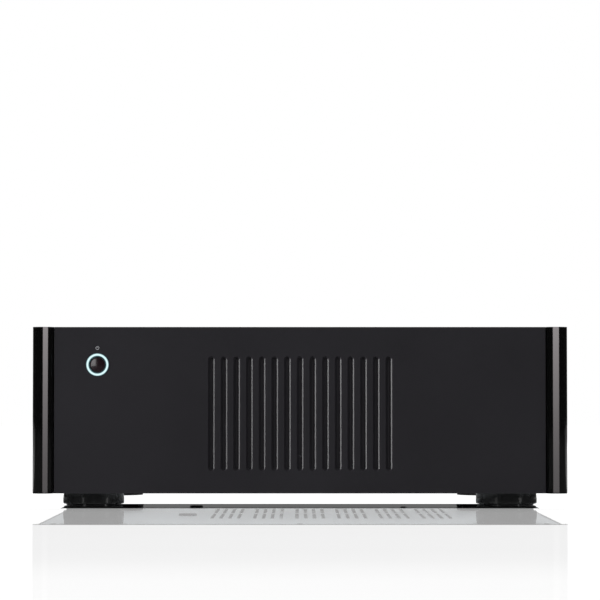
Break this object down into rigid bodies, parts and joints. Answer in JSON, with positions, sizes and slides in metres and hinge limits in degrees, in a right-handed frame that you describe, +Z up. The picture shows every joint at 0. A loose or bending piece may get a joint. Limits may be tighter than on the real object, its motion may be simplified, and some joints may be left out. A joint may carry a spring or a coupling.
{
  "type": "power amplifier",
  "caption": "Stereo power amplifier in a black full-width case with a grooved faceplate, gloss end pillars, a round lit power button and round feet.",
  "frame": {"origin": "on the floor under the centre of the outline, the tips of the speaker posts included", "axes": "+X to the right seen from the front, across the case; +Y to the back; +Z up"},
  "size_m": [0.431, 0.407, 0.1465],
  "materials": {
    "anodised_panel": "satin black anodised",
    "gloss_pillar": "polished black lacquer",
    "painted_steel": "fine-textured black powder coat",
    "lamp_lens": "clear moulded",
    "ring_lens": "lit diffusing acrylic",
    "black_plastic": "moulded",
    "button_cap": "polished",
    "foot_plastic": "moulded satin",
    "foot_rubber": "matt",
    "wound_coil": "taped copper winding on a steel core",
    "zinc_steel": "zinc plated",
    "circuit_board": "solder mask",
    "capacitor_sleeve": "shrunk plastic sleeve",
    "extruded_aluminium": "extruded, clear anodised",
    "gold_plate": "gold plated",
    "red_knob": "moulded",
    "black_knob": "moulded",
    "slider_plastic": "moulded"
  },
  "bodies": {
    "root": {"faceplate": "anodised_panel", "pillar_left": "gloss_pillar", "pillar_right": "gloss_pillar", "front_subpanel": "painted_steel", "indicator_lamp": "lamp_lens", "button_ring": "ring_lens", "button_guide": "black_plastic", "power_switch": "black_plastic", "base_plate": "zinc_steel", "top_cover": "painted_steel", "rear_panel": "painted_steel", "foot_front_left": "foot_plastic", "foot_front_right": "foot_plastic", "foot_rear_left": "foot_plastic", "foot_rear_right": "foot_plastic", "foot_pad_front_left": "foot_rubber", "foot_pad_front_right": "foot_rubber", "foot_pad_rear_left": "foot_rubber", "foot_pad_rear_right": "foot_rubber", "transformer_cushion": "foot_rubber", "transformer_coil": "wound_coil", "transformer_dish": "zinc_steel", "transformer_stud": "zinc_steel", "bridge_rectifier": "zinc_steel", "supply_board": "circuit_board", "capacitor_1": "capacitor_sleeve", "capacitor_2": "capacitor_sleeve", "capacitor_3": "capacitor_sleeve", "capacitor_4": "capacitor_sleeve", "heatsink_left": "extruded_aluminium", "heatsink_right": "extruded_aluminium", "amp_board_left": "circuit_board", "amp_board_right": "circuit_board", "output_transistor_left_1": "black_plastic", "output_transistor_left_2": "black_plastic", "output_transistor_right_1": "black_plastic", "output_transistor_right_2": "black_plastic", "terminal_plate": "black_plastic", "post_left_plus": "gold_plate", "post_left_minus": "gold_plate", "post_right_plus": "gold_plate", "post_right_minus": "gold_plate", "balanced_socket_left": "black_plastic", "balanced_socket_right": "black_plastic", "phono_jack_left": "gold_plate", "phono_jack_right": "gold_plate", "input_board": "circuit_board", "trigger_sockets": "black_plastic", "selector_housing": "black_plastic", "mains_inlet": "black_plastic"},
    "button": {"power_button": "button_cap"},
    "slider": {"selector_slider": "slider_plastic"},
    "washer_left_plus": {"washer_left_plus": "gold_plate"},
    "washer_left_minus": {"washer_left_minus": "gold_plate"},
    "washer_right_plus": {"washer_right_plus": "gold_plate"},
    "washer_right_minus": {"washer_right_minus": "gold_plate"},
    "knob_left_plus": {"knob_left_plus": "red_knob"},
    "knob_left_minus": {"knob_left_minus": "black_knob"},
    "knob_right_plus": {"knob_right_plus": "red_knob"},
    "knob_right_minus": {"knob_right_minus": "black_knob"}
  },
  "joints": [
    {"name": "power_button_press", "type": "slide", "parent": "root", "child": "button", "axis": [0, 1, 0], "range_m": [0, 0.003], "stiffness_N_per_m": 800},
    {"name": "selector_slide", "type": "slide", "parent": "root", "child": "slider", "axis": [1, 0, 0], "range_m": [0, 0.004]},
    {"name": "washer_left_plus_travel", "type": "slide", "parent": "root", "child": "washer_left_plus", "axis": [0, 1, 0], "range_m": [0, 0.003]},
    {"name": "washer_left_minus_travel", "type": "slide", "parent": "root", "child": "washer_left_minus", "axis": [0, 1, 0], "range_m": [0, 0.003]},
    {"name": "washer_right_plus_travel", "type": "slide", "parent": "root", "child": "washer_right_plus", "axis": [0, 1, 0], "range_m": [0, 0.003]},
    {"name": "washer_right_minus_travel", "type": "slide", "parent": "root", "child": "washer_right_minus", "axis": [0, 1, 0], "range_m": [0, 0.003]},
    {"name": "knob_left_plus_turn", "type": "hinge", "parent": "washer_left_plus", "child": "knob_left_plus", "pos_m": [-0.027, 0.1925, 0.052], "axis": [0, 1, 0], "range_deg": [0, 1080]},
    {"name": "knob_left_minus_turn", "type": "hinge", "parent": "washer_left_minus", "child": "knob_left_minus", "pos_m": [-0.053, 0.1925, 0.052], "axis": [0, 1, 0], "range_deg": [0, 1080]},
    {"name": "knob_right_plus_turn", "type": "hinge", "parent": "washer_right_plus", "child": "knob_right_plus", "pos_m": [0.027, 0.1925, 0.052], "axis": [0, 1, 0], "range_deg": [0, 1080]},
    {"name": "knob_right_minus_turn", "type": "hinge", "parent": "washer_right_minus", "child": "knob_right_minus", "pos_m": [0.053, 0.1925, 0.052], "axis": [0, 1, 0], "range_deg": [0, 1080]}
  ],
  "couplings": [
    {"joint": "knob_left_plus_turn", "follows": "washer_left_plus_travel", "rad_per_m": 6283.1},
    {"joint": "knob_left_minus_turn", "follows": "washer_left_minus_travel", "rad_per_m": 6283.1},
    {"joint": "knob_right_plus_turn", "follows": "washer_right_plus_travel", "rad_per_m": 6283.1},
    {"joint": "knob_right_minus_turn", "follows": "washer_right_minus_travel", "rad_per_m": 6283.1}
  ]
}
